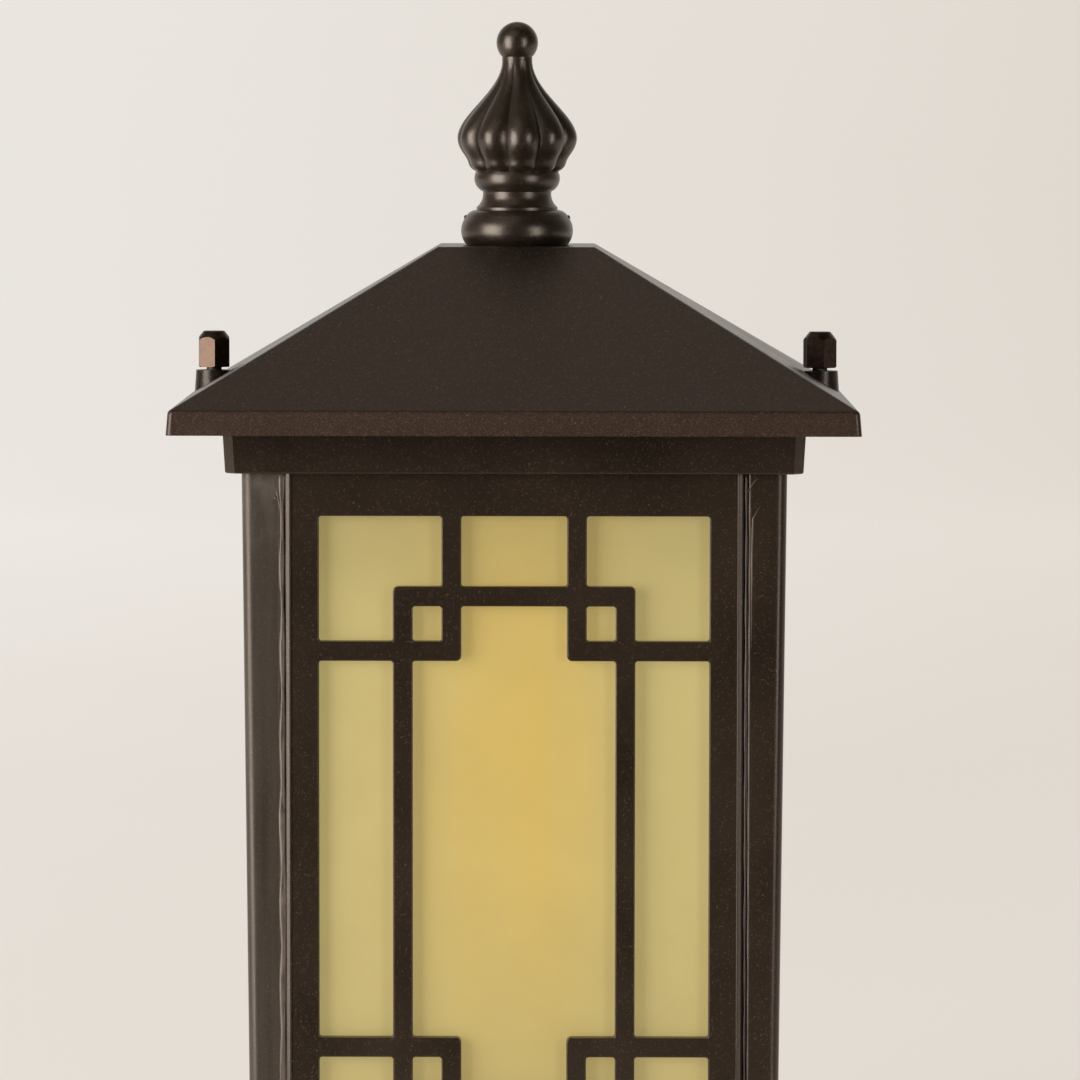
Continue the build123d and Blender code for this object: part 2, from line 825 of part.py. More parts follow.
def screw_shell():
    high = holder_floor_level + shell_height
    tube = rod(shell_bore_radius + shell_wall, holder_floor_level, high)
    return tube - rod(shell_bore_radius, holder_floor_level, high)


def centre_contact():
    pad_low = holder_floor_level + contact_thickness
    strip = slab(contact_length / 2, contact_width / 2, holder_floor_level, pad_low)
    return strip + rod(contact_pad_radius, pad_low, pad_low + contact_pad_height)


def holder_screws():
    length = bracket_thickness + holder_screw_grip
    screw = pan_screw(holder_screw_radius, holder_screw_head_radius, holder_screw_head, length)
    under = bracket_top - bracket_thickness
    return [Pos(side * holder_screw_place, 0, under) * Rot(180, 0, 0) * screw for side in (-1, 1)]


# Lamp

def lamp_tip():
    return rod(lamp_tip_radius, lamp_foot, lamp_foot + lamp_tip_height - lamp_stand_off)


def lamp_insulator():
    low = lamp_foot + lamp_tip_height
    return Pos(0, 0, low) * Cone(lamp_tip_radius, cap_bore_radius, insulator_height, align=ON_BASE)


def lamp_cap():
    cap = rod(cap_radius, cap_foot, cap_top)
    pitch = cap_length / (cap_ridges + 1)
    for ridge in range(cap_ridges):
        groove = Torus(cap_radius + pitch / 2 - cap_ridge_depth, pitch / 2)
        cap -= Pos(0, 0, cap_foot + (ridge + 1) * pitch) * groove
    return cap - rod(cap_bore_radius, cap_foot + cap_wall, cap_top)


def lamp_glass():
    neck = cap_bore_radius - glass_neck_fit
    neck_low = cap_top - glass_neck_depth
    neck_high = cap_top + glass_neck_rise
    flare_high = neck_high + glass_flare
    tube_high = flare_high + glass_tube_length
    flare_middle = (neck_high + flare_high) / 2
    waist = (neck + glass_radius) / 2
    inside = glass_radius - glass_wall
    quarter = math.sqrt(0.5)
    with BuildLine() as outline:
        Line((neck - glass_wall, neck_low), (neck, neck_low))
        Line((neck, neck_low), (neck, neck_high))
        Spline(
            (neck, neck_high),
            (waist, flare_middle),
            (glass_radius, flare_high),
            tangents=((0, 1), (0, 1)),
        )
        Line((glass_radius, flare_high), (glass_radius, tube_high))
        ThreePointArc(
            (glass_radius, tube_high),
            (glass_radius * quarter, tube_high + glass_radius * quarter),
            (0, tube_high + glass_radius),
        )
        Line((0, tube_high + glass_radius), (0, tube_high + inside))
        ThreePointArc(
            (0, tube_high + inside),
            (inside * quarter, tube_high + inside * quarter),
            (inside, tube_high),
        )
        Line((inside, tube_high), (inside, flare_high))
        Spline(
            (inside, flare_high),
            (waist - glass_wall, flare_middle),
            (neck - glass_wall, neck_high),
            tangents=((0, -1), (0, -1)),
        )
        Line((neck - glass_wall, neck_high), (neck - glass_wall, neck_low))
    return revolved(outline.line)


# Wiring

def pole_places():
    return [-pole_pitch, 0.0, pole_pitch]


def lead_seat():
    # How far into the lampholder a lead reaches, measured from the middle
    return math.sqrt(holder_rim_radius**2 - pole_pitch**2) - lead_seat_depth


def terminal_block():
    length = 2 * (pole_pitch + block_end)
    block = Pos(0, block_place, foot_top) * Box(length, block_width, block_height, align=ON_BASE)
    block = fillet(block.edges().filter_by(Axis.Z), block_corner_radius)
    for x in pole_places():
        hole = Cylinder(lead_radius + lead_fit, 2 * lead_seat_depth, align=ON_TOP)
        block -= Pos(x, block_face, lead_axis) * Rot(-90, 0, 0) * hole
        for end in (-1, 1):
            top = foot_top + block_height
            y = block_place + end * block_screw_place
            block -= rod(block_screw_radius + thread_fit, top - block_screw_depth, top, x, y)
    return block


def terminal_screws():
    high = foot_top + block_height - block_screw_seat
    low = foot_top + block_height - block_screw_depth
    screws = []
    for x in pole_places():
        for end in (-1, 1):
            y = block_place + end * block_screw_place
            slot = Box(2 * block_screw_radius, block_screw_slot, block_screw_seat, align=ON_TOP)
            screws.append(rod(block_screw_radius, low, high, x, y) - Pos(x, y, high) * slot)
    return screws


def tube(points, radii):
    route = FilletPolyline(*points, radius=radii) if radii else Line(*points)
    section = Plane(origin=points[0], z_dir=route % 0) * Circle(lead_radius)
    lead = sweep(section, path=route)
    expected = math.pi * lead_radius**2 * route.length
    print("lead", round(route.length, 1), "volume share", round(lead.volume / expected, 4), "radii", radii)
    return lead


def lamp_lead(side):
    x = side * pole_pitch
    points = [
        (x, block_face - lead_seat_depth, lead_axis),
        (x, lead_back_place, lead_axis),
        (x, lead_back_place, lead_high),
        (x, lead_seat() + lead_fit, lead_high),
    ]
    return tube(points, [lead_low_bend, lead_high_bend])


def earth_lead():
    return tube([(0, block_face - lead_seat_depth, lead_axis), (0, lead_back_place, lead_axis)], [])


def earth_tag():
    bore = lead_radius + lead_fit
    barrel = Cylinder(bore + barrel_wall, barrel_length, align=ON_BASE)
    barrel -= Cylinder(bore, barrel_length, align=ON_BASE)
    barrel = Pos(0, barrel_start, lead_axis) * Rot(-90, 0, 0) * barrel
    from_edge = (Align.CENTER, Align.MIN, Align.MIN)
    tongue = Box(tag_width, tag_end - barrel_start, tag_thickness, align=from_edge)
    saddle = Box(2 * lead_radius, barrel_length, lead_axis_rise - bore, align=from_edge)
    tag = Pos(0, barrel_start, foot_top) * (tongue + saddle) + barrel
    hole_high = foot_top + tag_thickness
    return tag - rod(earth_screw_radius + through_fit, foot_top, hole_high, 0, tag_hole_place)


def earth_screw():
    length = tag_thickness + earth_screw_grip
    screw = pan_screw(earth_screw_radius, earth_screw_head_radius, earth_screw_head, length)
    return Pos(0, tag_hole_place, foot_top + tag_thickness) * screw


def cable_grommet():
    sleeve = rod(cable_bore_radius - grommet_fit, grommet_lift, foot_top)
    flange = rod(cable_bore_radius + grommet_flange_margin, foot_top, foot_top + grommet_flange)
    flange = fillet(flange.edges().sort_by(Axis.Z)[-1], grommet_flange_round)
    return sleeve + flange - rod(grommet_bore_radius, grommet_lift, foot_top + grommet_flange)


# Every node by name: one solid, or a group of separate solids

nodes = {
    "foot_plate": foot_plate(),
    "foot_screws": foot_screws(),
    "base_collar": base_collar(),
    "cable_grommet": cable_grommet(),
    "top_collar": top_collar(),
    "roof_gasket": roof_gasket(),
    "left_stud": stud(-1),
    "right_stud": stud(1),
    "top_post_screws": post_screws(True),
    "bottom_post_screws": post_screws(False),
    "pane_clips": on_all_faces(pane_clips()),
    "clip_screws": on_all_faces(clip_screws()),
    "lampholder_bracket": lampholder_bracket(),
    "bracket_screws": bracket_screws(),
    "lampholder_body": lampholder_body(),
    "lampholder_shell": screw_shell(),
    "centre_contact": centre_contact(),
    "holder_screws": holder_screws(),
    "terminal_block": terminal_block(),
    "terminal_screws": terminal_screws(),
    "live_lead": lamp_lead(-1),
    "neutral_lead": lamp_lead(1),
    "earth_lead": earth_lead(),
    "earth_tag": earth_tag(),
    "earth_screw": earth_screw(),
    "roof_shell": roof_shell(),
    "roof_rib": roof_rib(),
    "finial": finial(),
    "finial_stud": finial_stud(),
    "finial_washer": finial_washer(),
    "finial_nut": finial_nut(),
    "left_cap_nut": cap_nut(-1, left_nut_turn),
    "right_cap_nut": cap_nut(1, right_nut_turn),
    "left_seal_washer": seal_washer(-1),
    "right_seal_washer": seal_washer(1),
    "lamp_tip": lamp_tip(),
    "lamp_insulator": lamp_insulator(),
    "lamp_cap": lamp_cap(),
    "lamp_glass": lamp_glass(),
}

one_post = corner_post()
for quarter, name in enumerate(["rear_right_post", "rear_left_post", "front_left_post", "front_right_post"]):
    nodes[name] = Rot(0, 0, 90 * quarter) * one_post

one_fret = fret()
one_pane = pane()
for quarter, side in enumerate(["front", "right", "rear", "left"]):
    nodes[side + "_fret"] = face_frame(quarter) * one_fret
    nodes[side + "_pane"] = face_frame(quarter) * one_pane

os.makedirs("parts", exist_ok=True)
for name, shape in nodes.items():
    solids = shape if isinstance(shape, list) else [shape]
    export_step(Compound(children=[piece.solid() for piece in solids]), "parts/" + name + ".step")
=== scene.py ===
import math
import random

import bmesh
import bpy
from mathutils import Matrix, Vector


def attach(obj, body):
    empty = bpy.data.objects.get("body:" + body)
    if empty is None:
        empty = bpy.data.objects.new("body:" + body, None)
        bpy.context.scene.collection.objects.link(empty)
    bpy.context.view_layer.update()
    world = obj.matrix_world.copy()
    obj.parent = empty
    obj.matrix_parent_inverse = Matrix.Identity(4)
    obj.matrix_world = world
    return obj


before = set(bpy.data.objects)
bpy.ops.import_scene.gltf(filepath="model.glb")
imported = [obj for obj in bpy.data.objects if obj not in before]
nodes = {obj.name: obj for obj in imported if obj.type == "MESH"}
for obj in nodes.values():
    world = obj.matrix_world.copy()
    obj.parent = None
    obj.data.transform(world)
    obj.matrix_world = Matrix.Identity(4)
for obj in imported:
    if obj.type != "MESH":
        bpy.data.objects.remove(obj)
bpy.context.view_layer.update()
SIDES = ("front", "right", "rear", "left")


# Foot plate, base collar and top collar
# Castings in aluminium, sprayed with a dark bronze powder that holds fine copper flakes and bakes to a
# satin skin. The foot is bolted to the pillar, and the collars clamp the posts between them.

NOISE_LOW = 0.3
NOISE_HIGH = 0.7
BLACK = (0.0, 0.0, 0.0, 1.0)


def start_material(name):
    material = bpy.data.materials.new(name)
    material.use_nodes = True
    tree = material.node_tree
    shader = next(n for n in tree.nodes if n.type == "BSDF_PRINCIPLED")
    return material, tree, shader


def add(tree, kind, values=None, links=None, **settings):
    node = tree.nodes.new("ShaderNode" + kind)
    for key, value in settings.items():
        setattr(node, key, value)
    for socket, value in (values or {}).items():
        node.inputs[socket].default_value = value
    for socket, source in (links or {}).items():
        tree.links.new(source, node.inputs[socket])
    return node


def place(tree):
    return add(tree, "TexCoord").outputs["Object"]


def stretched(tree, where, factors):
    return add(tree, "VectorMath", {1: factors}, {0: where}, operation="MULTIPLY").outputs["Vector"]


def noise(tree, where, scale, detail=2.0, roughness=0.5):
    values = {"Scale": scale, "Detail": detail, "Roughness": roughness}
    return add(tree, "TexNoise", values, {"Vector": where}).outputs["Fac"]


def remap(tree, value, low, high, to_low=0.0, to_high=1.0, smooth=False):
    values = {"From Min": low, "From Max": high, "To Min": to_low, "To Max": to_high}
    kind = "SMOOTHSTEP" if smooth else "LINEAR"
    return add(tree, "MapRange", values, {"Value": value}, interpolation_type=kind).outputs["Result"]


def cloudy(tree, where, scale, detail, to_low=0.0, to_high=1.0):
    return remap(tree, noise(tree, where, scale, detail), NOISE_LOW, NOISE_HIGH, to_low, to_high)


def calc(tree, operation, first, second=None):
    node = add(tree, "Math", operation=operation)
    for socket, value in zip(node.inputs, (first, second)):
        if value is None:
            continue
        if isinstance(value, (int, float)):
            socket.default_value = value
        else:
            tree.links.new(value, socket)
    return node.outputs["Value"]


def blend_colour(tree, share, first, second):
    node = add(tree, "Mix", data_type="RGBA")
    for socket, value in ((node.inputs[0], share), (node.inputs[6], first), (node.inputs[7], second)):
        if isinstance(value, (tuple, float)):
            socket.default_value = value
        else:
            tree.links.new(value, socket)
    return node.outputs[2]


def two_tone(tree, shader, share, dark, light, satin):
    tree.links.new(blend_colour(tree, share, dark, light), shader.inputs["Base Color"])
    tree.links.new(remap(tree, share, 0.0, 1.0, *satin), shader.inputs["Roughness"])


def dent(tree, shader, height, strength, depth):
    values = {"Strength": strength, "Distance": depth}
    node = add(tree, "Bump", values, {"Height": height})
    tree.links.new(node.outputs["Normal"], shader.inputs["Normal"])


def tone(red, green, blue):
    channels = [c / 255 for c in (red, green, blue)]
    linear = [c / 12.92 if c <= 0.04045 else ((c + 0.055) / 1.055) ** 2.4 for c in channels]
    return (*linear, 1.0)


def coat(names, material):
    for name in names:
        for slot in nodes[name].material_slots:
            slot.material = material


COAT_DARK = tone(36, 28, 20)
COAT_LIGHT = tone(45, 35, 26)
FLAKE_RED = tone(94, 75, 62)
FLAKE_SIZE = 0.00032
FLAKE_SHARE = 0.08
FLAKE_COVER = 0.8
FLAKE_GLOSS = 0.06
GRAIN_SIZE = 0.0005
GRAIN_DEPTH = 0.00006
GRAIN_STRENGTH = 0.25
CLOUD_SIZE = 0.035
SATIN_LOW = 0.29
SATIN_SPREAD = 0.06
OVERLAY_DULLS = 0.12
GLEAM = 0.5
GLEAM_TINT = (1.0, 0.84, 0.70, 1.0)


def bronze_coat(name, marks_and_painted_light=None, marks_and_light_tone=None, satin_low=SATIN_LOW, gleam=GLEAM,
                grain_strength=GRAIN_STRENGTH, dark=COAT_DARK, light=COAT_LIGHT):
    material, tree, shader = start_material(name)
    where = place(tree)
    cloud = cloudy(tree, where, 1 / CLOUD_SIZE, 4.0)
    ground = blend_colour(tree, cloud, dark, light)
    cells = add(tree, "TexVoronoi", {"Scale": 1 / FLAKE_SIZE}, {"Vector": where})
    lot = add(tree, "SeparateColor", links={"Color": cells.outputs["Color"]}).outputs["Red"]
    flake = remap(tree, lot, 1 - FLAKE_SHARE, 1.0, 0.0, FLAKE_COVER)
    colour = blend_colour(tree, flake, ground, FLAKE_RED)
    gloss = remap(tree, flake, 0.0, FLAKE_COVER, 0.0, -FLAKE_GLOSS)
    satin = calc(tree, "ADD", remap(tree, cloud, 0.0, 1.0, satin_low, satin_low + SATIN_SPREAD), gloss)
    # The overlay blends in a second tone and dulls the satin: real pale specks with painted light on the
    # eave, painted shade on the finial, and paler streaks on the front left post.
    if marks_and_painted_light:
        share = marks_and_painted_light(tree, where)
        colour = blend_colour(tree, share, colour, marks_and_light_tone)
        satin = calc(tree, "ADD", satin, remap(tree, share, 0.0, 1.0, 0.0, OVERLAY_DULLS))
    tree.links.new(colour, shader.inputs["Base Color"])
    tree.links.new(satin, shader.inputs["Roughness"])
    shader.inputs["Specular IOR Level"].default_value = gleam
    shader.inputs["Specular Tint"].default_value = GLEAM_TINT
    dent(tree, shader, noise(tree, where, 1 / GRAIN_SIZE, 3.0), grain_strength, GRAIN_DEPTH)
    return material


casting_coat = bronze_coat("casting_coat")
coat(("foot_plate", "base_collar", "top_collar"), casting_coat)


# Corner posts
# Four extruded and coated posts with rounded outer edges, grooved for the panels and screwed between the
# collars. The front left post is painted paler, in streaks down its face and in patches towards its top.

STREAK_TONE = tone(98, 90, 81)
PALING_TOP = 0.262
PALING_FADE = 0.232
POST_PALING = 0.40
TOP_PALING = 0.55
STREAK_SCALE = 330.0
STREAK_STRETCH = (1.0, 1.0, 0.04)
PATCH_SCALE = 150.0
PATCH_STRETCH = (1.0, 1.0, 0.5)


# Paler streaks down the face, and paler patches towards the top.
def paler_streaks(tree, where):
    level = add(tree, "SeparateXYZ", links={"Vector": where}).outputs["Z"]
    drawn_down = stretched(tree, where, STREAK_STRETCH)
    streak = remap(tree, noise(tree, drawn_down, STREAK_SCALE, 4.0), 0.32, 0.68)
    patch = remap(tree, noise(tree, stretched(tree, where, PATCH_STRETCH), PATCH_SCALE, 3.0), 0.40, 0.62)
    top = calc(tree, "MULTIPLY", remap(tree, level, PALING_FADE, PALING_TOP, 0.0, TOP_PALING), patch)
    streak_paling = calc(tree, "MULTIPLY", remap(tree, streak, 0.0, 1.0, 0.45, 1.0), POST_PALING)
    return calc(tree, "ADD", streak_paling, top)


coat(("front_right_post", "rear_left_post", "rear_right_post"), casting_coat)
coat(("front_left_post",), bronze_coat("streaked_coat", paler_streaks, STREAK_TONE))


# Fret panels
# Cast panels whose crossed bars stand before the panes. Their edges are softened by the coat, and a slanted
# lip, cast up the stile beside each seam, catches the light.

coat([side + "_fret" for side in SIDES], casting_coat)

BODY_LOW = 0.018
BODY_HIGH = 0.261
LOW_HALF = 0.08485
HIGH_HALF = 0.0873
LIP_CREST = 0.0716
LIP_FOOT = 0.0733
LIP_PROUD = 0.0006
LIP_DROP = 0.000135
LIP_THICK = 0.0012
LIP_ROUND = 0.00045
LIP_STEPS = 6


def face_depth(level):
    return LOW_HALF + (HIGH_HALF - LOW_HALF) * (level - BODY_LOW) / (BODY_HIGH - BODY_LOW)


def new_piece(name, mesh, material, body, smooth=True):
    bmesh.ops.recalc_face_normals(mesh, faces=mesh.faces)
    for face in mesh.faces:
        face.smooth = smooth and len(face.verts) <= 4
    data = bpy.data.meshes.new(name)
    mesh.to_mesh(data)
    mesh.free()
    data.materials.append(material)
    piece = bpy.data.objects.new(name, data)
    bpy.context.scene.collection.objects.link(piece)
    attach(piece, body)


def quarter_turn(quarter):
    return Matrix.Rotation(math.radians(90 * quarter), 3, "Z")


def slanted_lip(hand):
    mesh = bmesh.new()
    facet = math.hypot(LIP_FOOT - LIP_CREST, LIP_PROUD + LIP_DROP)
    slant = math.atan2(LIP_PROUD + LIP_DROP, LIP_FOOT - LIP_CREST)
    lean = math.atan2(HIGH_HALF - LOW_HALF, BODY_HIGH - BODY_LOW)
    middle = (BODY_LOW + BODY_HIGH) / 2
    bmesh.ops.create_cube(mesh, size=1.0)
    bmesh.ops.scale(mesh, vec=(facet, LIP_THICK, BODY_HIGH - BODY_LOW), verts=mesh.verts)
    upright = [edge for edge in mesh.edges if abs(edge.verts[0].co.z - edge.verts[1].co.z) > LIP_THICK]
    bmesh.ops.bevel(mesh, geom=upright, offset=LIP_ROUND, segments=LIP_STEPS, profile=0.5, affect="EDGES")
    bmesh.ops.translate(mesh, vec=(0.0, LIP_THICK / 2, 0.0), verts=mesh.verts)
    bmesh.ops.rotate(mesh, verts=mesh.verts, matrix=Matrix.Rotation(hand * slant, 3, "Z"))
    bmesh.ops.rotate(mesh, verts=mesh.verts, matrix=Matrix.Rotation(lean, 3, "X"))
    out = face_depth(middle) + (LIP_PROUD - LIP_DROP) / 2
    bmesh.ops.translate(mesh, vec=(hand * (LIP_CREST + LIP_FOOT) / 2, -out, middle), verts=mesh.verts)
    return mesh


for quarter, side in enumerate(SIDES):
    for hand, end in ((-1, "a"), (1, "b")):
        mesh = slanted_lip(hand)
        bmesh.ops.rotate(mesh, verts=mesh.verts, matrix=quarter_turn(quarter))
        new_piece("lip_%s_%s" % (side, end), mesh, casting_coat, "frame", smooth=False)


# Seam sealant
# A bead of dark sealant run by hand down the eight seams between the posts and the frets, so it wavers and
# swells. The front left one is fat and grey, and ends at the top in a smear drawn across the post.

SEAM_PLACE = 0.0743
BEAD_STEP = 0.0016
BEAD_SINK = 0.00045
STRAND_SIDES = 16
SWELL = 0.35
FIRST_SEED = 7
THIN_BEAD = {"half_width": 0.0005, "half_height": 0.00055, "wander": 0.00010}
FAT_BEAD = {"half_width": 0.00095, "half_height": 0.00070, "wander": 0.00020}


def strand(mesh, spine, half_width, half_height, turn):
    loop = bmesh.ops.create_circle(mesh, segments=STRAND_SIDES, radius=1.0)["verts"]
    angles = {vert: math.atan2(vert.co.y, vert.co.x) for vert in loop}
    edges = list(mesh.edges)
    for number, (centre, width, height) in enumerate(spine):
        if number:
            fresh = bmesh.ops.extrude_edge_only(mesh, edges=edges)["geom"]
            grown = {}
            for vert in (item for item in fresh if isinstance(item, bmesh.types.BMVert)):
                below = [edge.other_vert(vert) for edge in vert.link_edges]
                grown[vert] = next(angles[old] for old in below if old in angles)
            angles = grown
            edges = [item for item in fresh if isinstance(item, bmesh.types.BMEdge)]
            edges = [edge for edge in edges if all(vert in angles for vert in edge.verts)]
        for vert, angle in angles.items():
            across = math.cos(angle) * half_width * width
            out = math.sin(angle) * half_height * height
            vert.co = centre + Vector((across, out, 0.0))
    bmesh.ops.holes_fill(mesh, edges=[edge for edge in mesh.edges if edge.is_boundary])
    bmesh.ops.rotate(mesh, verts=mesh.verts, matrix=turn)


def waver(lot, size):
    waves = [(lot.uniform(30, 90), lot.uniform(0, 6.3)), (lot.uniform(150, 320), lot.uniform(0, 6.3))]
    return lambda at: size * sum(math.sin(at * pace + start) / 2 for pace, start in waves)


def sealant(name, dark, light):
    material, tree, shader = start_material(name)
    where = place(tree)
    smear = cloudy(tree, stretched(tree, where, (1.0, 1.0, 0.2)), 500.0, 3.0)
    two_tone(tree, shader, smear, dark, light, (0.24, 0.36))
    shader.inputs["Specular Tint"].default_value = GLEAM_TINT
    dent(tree, shader, noise(tree, where, 1500.0, 2.0), 0.3, 0.0001)
    return material


grey_sealant = sealant("grey_sealant", tone(70, 60, 51), tone(112, 101, 90))
dark_sealant = sealant("dark_sealant", tone(38, 30, 24), tone(54, 44, 36))


def seam_bead(name, material, quarter, hand, seed, half_width, half_height, wander):
    lot = random.Random(seed)
    sway = waver(lot, wander)
    swell = waver(lot, SWELL)
    steps = round((BODY_HIGH - BODY_LOW) / BEAD_STEP)
    spine = []
    for number in range(steps + 1):
        level = BODY_LOW + (BODY_HIGH - BODY_LOW) * number / steps
        centre = Vector((hand * SEAM_PLACE + sway(level), BEAD_SINK - face_depth(level), level))
        spine.append((centre, 1 + swell(level), 1 + swell(level + 1.0)))
    mesh = bmesh.new()
    strand(mesh, spine, half_width, half_height, quarter_turn(quarter))
    new_piece(name, mesh, material, "frame")


for quarter, side in enumerate(SIDES):
    for hand, end in ((-1, "a"), (1, "b")):
        fat = side == "front" and hand == -1
        bead = FAT_BEAD if fat else THIN_BEAD
        material = grey_sealant if fat else dark_sealant
        seed = FIRST_SEED + quarter * 2 + hand
        seam_bead("sealant_%s_%s" % (side, end), material, quarter, hand, seed, **bead)

SMEARS = {
    "sealant_smear": ((-0.0766, 0.2590), (-0.0757, 0.2540), (-0.0746, 0.2485), (-0.0743, 0.2427)),
    "sealant_drip_a": ((0.0777, 0.2600), (0.0760, 0.2575), (0.0743, 0.2545)),
    "sealant_drip_b": ((0.0783, 0.2504), (0.0763, 0.2465), (0.0760, 0.2350), (0.0760, 0.2050)),
}
SMEAR_WIDTH = 0.00030
SMEAR_HEIGHT = 0.00022
SMEAR_SINK = 0.00008
SMEAR_TAPER = 0.4
DROP_SPOT = (-0.0764, 0.2530)
DROP_RADIUS = 0.0005
DROP_STRETCH = (1.0, 0.6, 1.3)

for name, route in SMEARS.items():
    spine = []
    for number, (x, level) in enumerate(route):
        share = SMEAR_TAPER if number in (0, len(route) - 1) else 1.0
        spine.append((Vector((x, SMEAR_SINK - face_depth(level), level)), share, share))
    mesh = bmesh.new()
    strand(mesh, spine, SMEAR_WIDTH, SMEAR_HEIGHT, Matrix.Identity(3))
    new_piece(name, mesh, grey_sealant, "frame")

mesh = bmesh.new()
bmesh.ops.create_icosphere(mesh, subdivisions=3, radius=DROP_RADIUS)
bmesh.ops.scale(mesh, vec=DROP_STRETCH, verts=mesh.verts)
bmesh.ops.translate(mesh, vec=(DROP_SPOT[0], -face_depth(DROP_SPOT[1]), DROP_SPOT[1]), verts=mesh.verts)
new_piece("sealant_drop", mesh, grey_sealant, "frame")


# Panes
# Amber opal glass, satin outside, clipped behind the frets. The lamp's light through it is painted in: each
# pane glows all over, with a warmer tall soft band glowing up its middle, and it is greener towards its
# edges where that band fades. Painted shade darkens the top of each pane under the eave, and its foot.

PANE_SIDE = tone(198, 180, 117)
PANE_LAMPLIT = tone(206, 175, 94)
PANE_MOTTLE = tone(150, 132, 76)
PANE_SHADE = tone(110, 94, 56)
PANE_BODY = 0.5
MOTTLE_SHARE = 0.10
TOP_SHADE = 0.26
FOOT_SHADE = 0.14
SIDE_GLOW = 0.56
FULL_GLOW = 0.60
GLOW_CORE = 0.004
GLOW_HALF_WIDTH = 0.048
GLOW_MIDDLE = 0.168
GLOW_HALF_HEIGHT = 0.155
SHADE_LOW = 0.200
SHADE_HIGH = 0.252
FOOT_SHADE_LOW = 0.05
FOOT_SHADE_HIGH = 0.15


def amber_glass(name):
    material, tree, shader = start_material(name)
    where = place(tree)
    axes = add(tree, "SeparateXYZ", links={"Vector": where})
    level = axes.outputs["Z"]
    across = calc(
        tree,
        "MINIMUM",
        calc(tree, "ABSOLUTE", axes.outputs["X"]),
        calc(tree, "ABSOLUTE", axes.outputs["Y"]),
    )
    rise = calc(tree, "ABSOLUTE", calc(tree, "SUBTRACT", level, GLOW_MIDDLE))
    band = remap(tree, across, GLOW_CORE, GLOW_HALF_WIDTH, 1.0, 0.0, smooth=True)
    reach = remap(tree, rise, 0.0, GLOW_HALF_HEIGHT, 1.0, 0.0, smooth=True)
    ripple = cloudy(tree, stretched(tree, where, (1.0, 1.0, 0.12)), 70.0, 2.0, 0.8, 1.1)
    glow = calc(tree, "MULTIPLY", calc(tree, "MULTIPLY", band, reach), ripple)
    colour = blend_colour(tree, glow, PANE_SIDE, PANE_LAMPLIT)
    mottle = cloudy(tree, where, 55.0, 3.0, 0.0, MOTTLE_SHARE)
    colour = blend_colour(tree, mottle, colour, PANE_MOTTLE)
    # Painted shade: darker at the top under the eave, and darker towards the foot.
    top_shade = remap(tree, level, SHADE_LOW, SHADE_HIGH, 0.0, TOP_SHADE, smooth=True)
    foot_shade = remap(tree, level, FOOT_SHADE_LOW, FOOT_SHADE_HIGH, FOOT_SHADE, 0.0, smooth=True)
    colour = blend_colour(tree, calc(tree, "ADD", top_shade, foot_shade), colour, PANE_SHADE)
    # Painted lamp light: half the colour is given as emission, so the pane glows all over and brightest in
    # the band.
    body = blend_colour(tree, PANE_BODY, colour, BLACK)
    tree.links.new(body, shader.inputs["Base Color"])
    tree.links.new(colour, shader.inputs["Emission Color"])
    tree.links.new(remap(tree, glow, 0.0, 1.0, SIDE_GLOW, FULL_GLOW), shader.inputs["Emission Strength"])
    shader.inputs["Roughness"].default_value = 0.42
    dent(tree, shader, noise(tree, where, 260.0, 2.0), 0.12, 0.0004)
    return material


coat([side + "_pane" for side in SIDES], amber_glass("amber_glass"))


# Screws, clips, bracket and studs
# Steel with a bright zinc plate, which is dull and faintly clouded. The screws hold the castings, posts and
# holder, the clips hold the panes, and the studs stand in the collar's ears with a fine cut thread.

THREAD_PITCH = 0.001
WAVE_LENGTH = 0.314
ZINC_DARK = tone(150, 151, 152)
ZINC_LIGHT = tone(186, 184, 176)


def zinc_steel(name, threaded=False):
    material, tree, shader = start_material(name)
    where = place(tree)
    two_tone(tree, shader, cloudy(tree, where, 220.0, 4.0), ZINC_DARK, ZINC_LIGHT, (0.34, 0.5))
    shader.inputs["Metallic"].default_value = 1.0
    if threaded:
        values = {"Scale": WAVE_LENGTH / THREAD_PITCH}
        ridge = add(tree, "TexWave", values, {"Vector": where}, bands_direction="Z").outputs["Fac"]
        dent(tree, shader, ridge, 1.0, 0.0003)
    else:
        dent(tree, shader, noise(tree, where, 1800.0, 2.0), 0.15, 0.00005)
    return material


plain_zinc = zinc_steel("plain_zinc")
coat(("foot_screws", "top_post_screws", "bottom_post_screws", "clip_screws", "bracket_screws"), plain_zinc)
coat(("holder_screws", "terminal_screws", "earth_screw", "pane_clips", "lampholder_bracket"), plain_zinc)
coat(("left_stud", "right_stud"), zinc_steel("threaded_zinc", True))


# Gasket, seal washers and grommet
# Black rubber, moulded with a dull skin. The gasket lies on the collar under the roof, a washer under each
# cap nut, and the grommet lines the cable hole.

material, tree, shader = start_material("black_rubber")
where = place(tree)
bloom = remap(tree, noise(tree, where, 160.0, 4.0), 0.35, 0.75)
two_tone(tree, shader, bloom, tone(20, 20, 21), tone(38, 37, 36), (0.6, 0.8))
dent(tree, shader, noise(tree, where, 2200.0, 2.0), 0.25, 0.00008)
coat(("roof_gasket", "left_seal_washer", "right_seal_washer", "cable_grommet"), material)


# Lampholder
# A glazed white ceramic body holds a rolled brass screw shell and a sprung brass contact.

material, tree, shader = start_material("white_ceramic")
where = place(tree)
glaze = cloudy(tree, where, 60.0, 3.0)
two_tone(tree, shader, glaze, tone(222, 217, 205), tone(236, 232, 223), (0.14, 0.24))
dent(tree, shader, noise(tree, where, 300.0, 2.0), 0.05, 0.0003)
coat(("lampholder_body",), material)


